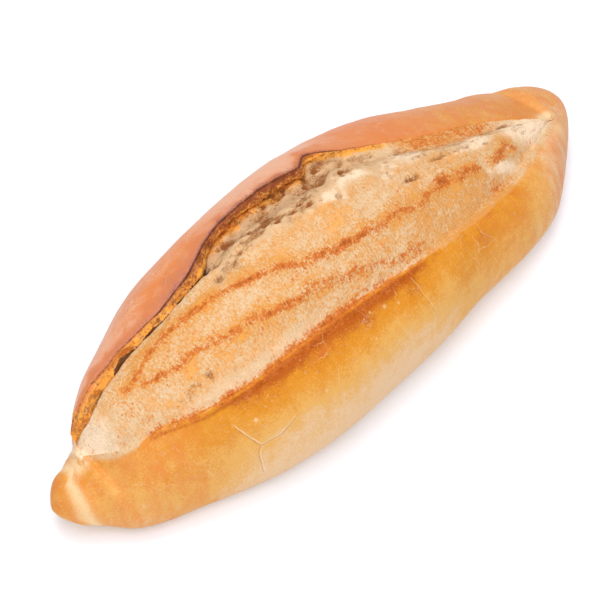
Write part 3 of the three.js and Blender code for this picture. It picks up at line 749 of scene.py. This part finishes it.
def bloom_levels(grid, w, parts, core, halo, fray):
    """How raw, golden and toasted the torn dough is: strips and spots, the tears' cores and halos, the rim,
    and the dough by the ear at the blunt end, with painted shade as toast on the torn face under the middle
    of the ear. Flecks and licks are even levels that only the noises break up."""
    x, y, z = np.moveaxis(grid, -1, 0)
    slash, bloom, torn, ridge = (parts[name] for name in ("slash", "bloom", "torn", "ridge"))
    by_ear = 0.8 * between(w + 0.6 * fray, 11.1, 12.4, 15.3, 15.8) * between(x, 40, 54, 84, 98)

    low_strip = 0.35 * between(w, 8.05, 8.2, 8.35, 8.65) * between(x, -100, -86, -45, -20)
    high_strip = 0.8 * between(w + 0.2 * fray, 10.2, 10.6, 10.9, 11.3) * between(x, -20, 0, 25, 45)
    raw_spots = spots(RAW_SPOTS, x, y) * rise(w, 7, 7.6)
    raw = np.maximum.reduce((low_strip, high_strip, raw_spots)) - halo

    gold = 0.1 + 0.1 * bell(x, -103, 8) + 0.3 * between(w, 9.6, 10.2, 10.5, 11) + 0.8 * halo
    gold = gold + 0.45 * between(x, 10, 28, 68, 80) * (1 - rise(w, 9.2, 9.8))
    gold = gold + 0.3 * between(x, -94, -82, -58, -44) * between(w, 8.4, 8.7, 9.1, 9.5)
    gold = gold + 0.6 * between(x, 20, 45, 70, 92) * between(w, 6.5, 6.8, 7.4, 8.8) + by_ear

    crests = (bell(w, 6.86, 0.22), 0.95 * between(w, 6.8, 7, 7.6, 7.9), 1.3 * bell(w, 7.97, 0.26))
    rim = np.maximum.reduce(crests) * between(w, 6.4, 6.7, 8.15, 8.55)
    rim = rim * (1 + 0.3 * fray) * parts["shown"] * parts["ridged"]
    left = 1 - rise(x, -62, -46)
    # The middle term is painted shade as toast on the torn face in the hollow under the ear's overhang
    browned = 0.55 * left + 0.85 * between(x, -52, -40, 2, 12)
    browned = browned + 0.6 * rise(x, 6, 16) * rise(w, 13.8, 14.6)
    spotted = np.maximum(core, spots(TOAST_SPOTS, x, y)) * bloom
    brown_spots = spots(BROWN_SPOTS, x, z) * parts["flank"]
    toast = np.maximum.reduce((spotted, rim, torn * browned, by_ear, brown_spots))
    toasted = np.maximum.reduce((bloom, ridge, torn, rise(by_ear, 0, 0.2), rise(toast, 0, 0.3)))
    return {
        "gold": blend(1.5 * OUTSIDE, gold, rise(slash, 0, 0.5)), "raw": blend(OUTSIDE, raw, slash),
        "toast": blend(OUTSIDE, toast, toasted), "fleck": blend(OUTSIDE, 0.1, bloom),
        "lick": blend(OUTSIDE, 0.4, torn * left),
        "crag": np.maximum.reduce((slash, ridge, rise(by_ear, 0, 0.3))),
    }


def ear_levels(x, w, parts, fray):
    """How far the ear's face is scalded, its crust flushed and burnt and its edge charred: the table along
    the loaf times a band round the section. The burnt band's purple is partly painted sheen. The crevice is
    the gap where the ear nearly touches the bloom, darkened by painted shade."""
    shown = parts["shown"]
    scalded, flushed, burnt, charred = (rise(x, -121.5, -119.5) * line for line in line_at(EAR_BURN, x))
    scald = scalded * between(w + 0.2 * fray, 13.7, 14.8, 15.1, 15.4)
    reach = 13.5 + 0.75 * between(x, -108, -98, -62, -52) + 0.3 * bell(x, -95, 4)
    reach = reach + 0.3 * wobble(x[:, 0], 3, 195)[:, None]
    # Painted shade along the crevice where the ear nearly touches the bloom
    crevice = rise(w, 11.2, 11.5) * rise(reach - w, -0.15, 0.2) * between(x, -116, -110, -54, -44)
    return {
        "scald": blend(OUTSIDE, scald, between(w, 13, 13.4, 15.3, 15.6) * shown),
        "crevice": crevice * shown,
        "flush": flushed * shown * between(w + 0.15 * fray, 15.2, 15.6, 15.8, 17),
        "burnt": burnt * shown * between(w + 0.1 * fray, 15.2, 15.5, 15.9, 16.26),
        "char": charred * shown * between(w + 0.1 * fray, 14.9, 15.1, 15.5, 15.75),
    }


def textures(grid, place, sizes):
    """Relief in millimetres and the levels that the material reads, each as (stations, samples), and for
    the three cracks with one more axis. Levels that noises fray are far below 0 outside their own area."""
    x, y, z = np.moveaxis(grid, -1, 0)
    w = np.broadcast_to(place, x.shape)
    parts = areas(grid, w)
    core, halo = tears(x, y)
    height, holes = crags(grid, w, parts, halo, sizes)
    fray = rough(grid, 5, 3, 191)
    offsets, shares = crack_offsets(x, z)
    shares = shares * parts["flank"][..., None] * rise(4 - np.abs(offsets), 0, 1)
    slash, crumb = parts["slash"], parts["crumb"]
    crust_roughness = blend(CRUST_ROUGHNESS, FAR_CRUST_ROUGHNESS, parts["far"])
    levels = {
        "slash": slash, "skin": 1 - slash, "crumb": 2 * crumb - 1, "torn": 2 * parts["torn"] - 1,
        # Painted shade: a little over all the crumb, more in holes, slots and spongy patches
        "pit": blend(OUTSIDE, 0.16 + holes, np.maximum(crumb, rise(holes, 0, 0.1))),
        "crack": offsets, "crack_shown": shares,
        "roughness": blend(crust_roughness, TORN_ROUGHNESS, np.maximum(slash, parts["ridge"])),
    }
    levels.update(crust_levels(grid, w, parts, fray))
    levels.update(bloom_levels(grid, w, parts, core, halo, fray))
    levels.update(ear_levels(x, w, parts, fray))
    return height, levels


def loaf_mesh(sizes):
    """The textured loaf as a closed mesh: the smooth grid moved out along its normals by the relief, kept
    over the floor, with a point at each tip. The levels become attributes of its points."""
    grid, place = smooth_loaf(sizes)
    height, levels = textures(grid, place, sizes)
    skin = grid + normals(grid) * height[..., None]
    skin[..., 2] = np.maximum(skin[..., 2], 0)
    middle = (grid[..., 1].min() + grid[..., 1].max()) / 2
    tips = np.stack((skin[0].mean(axis=0), skin[-1].mean(axis=0)))
    tips[:, 0] = (-sizes.length / MM / 2, sizes.length / MM / 2)
    points = np.concatenate((skin.reshape(-1, 3), tips)) - (0, middle, 0)

    stations, around = skin.shape[:2]
    number = np.arange(stations * around).reshape(stations, around)
    beside = np.roll(number, -1, axis=1)
    quads = np.stack((number[:-1], number[1:], beside[1:], beside[:-1]), axis=-1).reshape(-1, 4)
    first = np.stack((np.full(around, stations * around), number[0], beside[0]), axis=-1)
    last = np.stack((np.full(around, stations * around + 1), beside[-1], number[-1]), axis=-1)
    mesh = bpy.data.meshes.new("loaf_skin")
    mesh.from_pydata(points * MM, [], quads.tolist() + first.tolist() + last.tolist())
    for name, level in levels.items():
        at_tips = np.stack((level[0].mean(axis=0), level[-1].mean(axis=0)))
        values = np.concatenate((level.ravel(), at_tips.ravel()))
        kind, slot = ("FLOAT", "value") if level.ndim == 2 else ("FLOAT_VECTOR", "vector")
        attribute = mesh.attributes.new(name, kind, "POINT")
        attribute.data.foreach_set(slot, values.astype(np.float32))
    mesh.shade_smooth()
    mesh.validate()
    return mesh


def add(tree, kind, options=None, inputs=None):
    """Adds a node to a tree. Options set the node itself. Each input, by name or number, is a value or an
    output that is linked to it."""
    node = tree.nodes.new(kind)
    for name, value in (options or {}).items():
        setattr(node, name, value)
    for key, value in (inputs or {}).items():
        if isinstance(value, bpy.types.NodeSocket):
            tree.links.new(value, node.inputs[key])
        else:
            node.inputs[key].default_value = value
    return node


def dough_patterns(tree, place, sizes):
    """Patterns of the dough by name: noises that lie mostly between -1 and 1, and dots, the blisters of the
    crust and the small pores of the crumb. There is one dot to a cell, its own radius less the distance
    from its middle."""
    signals = {}
    for name, size, drawn_out, octaves in NOISES:
        scale = tuple(1 / (size * MM * share) for share in drawn_out)
        spread = add(tree, "ShaderNodeMapping", {}, {"Vector": place, "Scale": scale}).outputs[0]
        fractal = {"Vector": spread, "Scale": 1.0, "Detail": octaves, "Roughness": 0.6}
        noise = add(tree, "ShaderNodeTexNoise", {}, fractal).outputs["Fac"]
        centred = {0: noise, 1: NOISE_STRETCH, 2: -0.5 * NOISE_STRETCH}
        signals[name] = add(tree, "ShaderNodeMath", {"operation": "MULTIPLY_ADD"}, centred).outputs[0]
    for name, spacing, reach in (("blister", sizes.blister, 0.12), ("pore", 0.45 * sizes.crumb_hole, 0.6)):
        cell = add(tree, "ShaderNodeTexVoronoi", {}, {"Vector": place, "Scale": 1 / spacing}).outputs
        radius = add(tree, "ShaderNodeMath", {"operation": "MULTIPLY"}, {0: cell["Color"], 1: reach})
        inside = {0: radius.outputs[0], 1: cell["Distance"]}
        dot = add(tree, "ShaderNodeMath", {"operation": "SUBTRACT", "use_clamp": True}, inside)
        signals[name] = dot.outputs[0]
    return signals


def crust_cracks(tree, place, sizes):
    """Wrinkles, cracks and the gaps beside them by name, all swayed by one noise. Wrinkles are thin seams
    between large cells. A crack is the share of it that shows less the distance in millimetres, and the
    highest of the three counts. The crack's pale line is partly paler dough and partly painted highlight on
    its lit edge, and the gap beside it is painted shadow."""
    signals = {}
    waves = {"Vector": place, "Scale": 1 / (CRACK_SWAY * MM), "Detail": 3.0}
    bends = add(tree, "ShaderNodeTexNoise", {}, waves).outputs["Color"]
    swaying = {0: bends, 1: (CRACK_SWAY * MM,) * 3, 2: place}
    bent = add(tree, "ShaderNodeVectorMath", {"operation": "MULTIPLY_ADD"}, swaying).outputs[0]
    cells = {"Vector": bent, "Scale": 1 / sizes.wrinkle}
    seams = add(tree, "ShaderNodeTexVoronoi", {"feature": "DISTANCE_TO_EDGE"}, cells).outputs["Distance"]
    thin = {"Value": seams, "From Max": 0.02, "To Min": 1.0, "To Max": 0.0}
    signals["wrinkle"] = add(tree, "ShaderNodeMapRange", {}, thin).outputs[0]
    away = add(tree, "ShaderNodeAttribute", {"attribute_name": "crack"}).outputs["Vector"]
    kept = add(tree, "ShaderNodeAttribute", {"attribute_name": "crack_shown"}).outputs["Vector"]
    for name, shift in (("crack", -0.6), ("gap", -0.15)):
        moved = add(tree, "ShaderNodeVectorMath", {"operation": "ADD"}, {0: away, 1: (shift,) * 3}).outputs[0]
        wavy = {0: bends, 1: (1.2,) * 3, 2: moved}
        swayed = add(tree, "ShaderNodeVectorMath", {"operation": "MULTIPLY_ADD"}, wavy).outputs[0]
        side = add(tree, "ShaderNodeVectorMath", {"operation": "ABSOLUTE"}, {0: swayed}).outputs[0]
        inside = add(tree, "ShaderNodeVectorMath", {"operation": "SUBTRACT"}, {0: kept, 1: side}).outputs[0]
        axes = add(tree, "ShaderNodeSeparateXYZ", {}, {0: inside}).outputs
        first = add(tree, "ShaderNodeMath", {"operation": "MAXIMUM"}, {0: axes[0], 1: axes[1]}).outputs[0]
        last = {0: first, 1: axes[2]}
        highest = add(tree, "ShaderNodeMath", {"operation": "MAXIMUM", "use_clamp": True}, last)
        signals[name] = highest.outputs[0]
    return signals


def baked_dough(sizes, colours):
    """Baked wheat dough. A thin crust, browned in the oven, is satin and mottled, with pale blisters,
    hairline cracks and faint wrinkles. The torn bloom is matt and fibrous with toasted crests, the crumb matt
    and open, and the ear's edge burnt. Painted shade darkens the holes, the crevice, the gaps of the cracks
    and the torn face under the ear. Painted light brightens the torn gold, and painted sheen and highlight
    lighten the far crust's dust, the burnt band and the cracks' edges."""
    material = bpy.data.materials.new("baked wheat dough, browned crust and torn bloom")
    material.use_nodes = True
    tree = material.node_tree
    tree.nodes.clear()
    place = add(tree, "ShaderNodeTexCoord").outputs["Object"]
    signals = dough_patterns(tree, place, sizes)
    signals.update(crust_cracks(tree, place, sizes))

    # All other levels are painted on the mesh
    for name in [coat[1] for coat in COATS] + [row[1] for row in FINE_RELIEF] + ["roughness"]:
        if name not in signals:
            signals[name] = add(tree, "ShaderNodeAttribute", {"attribute_name": name}).outputs["Fac"]

    # Coats of colour over the pale crust
    tint = tuple(colours.crust_pale) + (1.0,)
    for colour, level, start, full, share, frays in COATS:
        value = signals[level]
        for name, amount in frays.items():
            sum_of = {0: signals[name], 1: amount, 2: value}
            value = add(tree, "ShaderNodeMath", {"operation": "MULTIPLY_ADD"}, sum_of).outputs[0]
        step = {"Value": value, "From Min": start, "From Max": full, "To Max": share}
        shown = add(tree, "ShaderNodeMapRange", {"interpolation_type": "SMOOTHSTEP"}, step).outputs[0]
        ink = tuple(getattr(colours, colour)) + (1.0,)
        tint = add(tree, "ShaderNodeMix", {"data_type": "RGBA"}, {0: shown, 6: tint, 7: ink}).outputs[2]

    # Relief finer than the mesh
    height = 0.0
    for name, level, amount in FINE_RELIEF:
        both = {0: signals[name], 1: signals[level]}
        part = add(tree, "ShaderNodeMath", {"operation": "MULTIPLY"}, both).outputs[0]
        sum_of = {0: part, 1: amount, 2: height}
        height = add(tree, "ShaderNodeMath", {"operation": "MULTIPLY_ADD"}, sum_of).outputs[0]
    bump = add(tree, "ShaderNodeBump", {}, {"Height": height, "Distance": MM, "Strength": 1.0}).outputs[0]
    uneven = {0: signals["speckle"], 1: 0.05, 2: signals["roughness"]}
    roughness = add(tree, "ShaderNodeMath", {"operation": "MULTIPLY_ADD"}, uneven).outputs[0]
    shader = add(tree, "ShaderNodeBsdfPrincipled", {}, {
        "Base Color": tint, "Roughness": roughness, "Normal": bump, "IOR": 1.45, "Specular IOR Level": 0.25,
    })
    add(tree, "ShaderNodeOutputMaterial", {}, {"Surface": shader.outputs[0]})
    return material


def studio_white(colour, glow):
    """Matt painted board: an even pale floor with a trace of ripple from the paint roller, and a faint glow
    of its own that keeps it nearly white, as in a light tent."""
    material = bpy.data.materials.new("matt white painted board")
    material.use_nodes = True
    tree = material.node_tree
    tree.nodes.clear()
    place = add(tree, "ShaderNodeTexCoord").outputs["Object"]
    waves = {"Vector": place, "Scale": 1 / (RIPPLE * MM), "Detail": 2.0}
    ripple = add(tree, "ShaderNodeTexNoise", {}, waves).outputs["Fac"]
    bump = add(tree, "ShaderNodeBump", {}, {"Height": ripple, "Distance": RIPPLE_HEIGHT * MM}).outputs[0]
    shader = add(tree, "ShaderNodeBsdfPrincipled", {}, {
        "Base Color": tuple(colour) + (1.0,), "Roughness": 0.9, "Specular IOR Level": 0.1, "Normal": bump,
        "Emission Color": tuple(glow) + (1.0,), "Emission Strength": 0.1,
    })
    add(tree, "ShaderNodeOutputMaterial", {}, {"Surface": shader.outputs[0]})
    return material


def put_in_scene(name, data):
    """A new object of that data at the origin."""
    piece = bpy.data.objects.new(name, data)
    bpy.context.scene.collection.objects.link(piece)
    return piece


def softbox(name, place, size, power):
    """A square area light at a place in metres, facing the point that the camera looks at."""
    light = bpy.data.lights.new(name, "AREA")
    light.energy = power
    light.size = size
    piece = put_in_scene(name, light)
    piece.location = place
    piece.rotation_euler = (AIM - Vector(place)).to_track_quat("-Z", "Y").to_euler()


class LOAF_OT_bake(bpy.types.Operator):
    """Builds the loaf and its baked dough"""
    bl_idname = "loaf.bake"
    bl_label = "Bake the loaf"

    def execute(self, context):
        sizes = context.scene.loaf_sizes
        mesh = loaf_mesh(sizes)
        mesh.materials.append(baked_dough(sizes, context.scene.loaf_colours))
        piece = put_in_scene("baked_loaf", mesh)
        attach(piece, "root")
        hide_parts("loaf")
        return {"FINISHED"}


class LOAF_OT_stage(bpy.types.Operator):
    """Sets up the floor, the soft light and the camera"""
    bl_idname = "loaf.stage"
    bl_label = "Set the stage"

    def execute(self, context):
        scene = context.scene
        settings = scene.loaf_stage
        floor = bpy.data.meshes.new("studio_floor")
        corners = [(x * FLOOR_HALF, y * FLOOR_HALF, 0) for x, y in ((-1, -1), (1, -1), (1, 1), (-1, 1))]
        floor.from_pydata(corners, [], [(0, 1, 2, 3)])
        floor.materials.append(studio_white(settings.floor, settings.glow))
        put_in_scene("studio_floor", floor)

        softbox("key_softbox", KEY_PLACE, KEY_SIZE, settings.key)
        softbox("fill_softbox", FILL_PLACE, FILL_SIZE, settings.fill)
        world = bpy.data.worlds.new("white_surroundings")
        world.use_nodes = True
        world.node_tree.nodes["Background"].inputs["Color"].default_value = (1, 1, 1, 1)
        world.node_tree.nodes["Background"].inputs["Strength"].default_value = settings.sky
        scene.world = world
        scene.view_settings.view_transform = "Standard"

        turn, tilt = settings.azimuth, settings.elevation
        back = Vector((math.sin(turn) * math.cos(tilt), -math.cos(turn) * math.cos(tilt), math.sin(tilt)))
        lens = bpy.data.cameras.new("camera")
        lens.lens = settings.lens
        lens.sensor_width = SENSOR_WIDTH
        camera = put_in_scene("camera", lens)
        camera.location = AIM + back * settings.distance
        camera.rotation_euler = back.to_track_quat("Z", "Y").to_euler()
        scene.camera = camera
        return {"FINISHED"}


class LOAF_PT_panel(bpy.types.Panel):
    """Sizes, colours and steps of the loaf"""
    bl_idname = "LOAF_PT_panel"
    bl_label = "White bread loaf"
    bl_space_type = "VIEW_3D"
    bl_region_type = "UI"
    bl_category = "Loaf"

    def draw(self, context):
        for group in (context.scene.loaf_sizes, context.scene.loaf_colours, context.scene.loaf_stage):
            box = self.layout.box()
            for name in group.__annotations__:
                box.prop(group, name)
        self.layout.operator("loaf.bake")
        self.layout.operator("loaf.stage")


CLASSES = (LoafSizes, LoafColours, StageSettings, LOAF_OT_bake, LOAF_OT_stage, LOAF_PT_panel)


def register():
    """Registers the classes and hangs the three groups on the scene."""
    for item in CLASSES:
        bpy.utils.register_class(item)
    bpy.types.Scene.loaf_sizes = PointerProperty(type=LoafSizes)
    bpy.types.Scene.loaf_colours = PointerProperty(type=LoafColours)
    bpy.types.Scene.loaf_stage = PointerProperty(type=StageSettings)


def unregister():
    """Takes away what register added."""
    del bpy.types.Scene.loaf_stage
    del bpy.types.Scene.loaf_colours
    del bpy.types.Scene.loaf_sizes
    for item in reversed(CLASSES):
        bpy.utils.unregister_class(item)


def main():
    """Builds the loaf and the stage."""
    register()
    bpy.ops.loaf.bake()
    bpy.ops.loaf.stage()


if __name__ == "__main__":
    main()
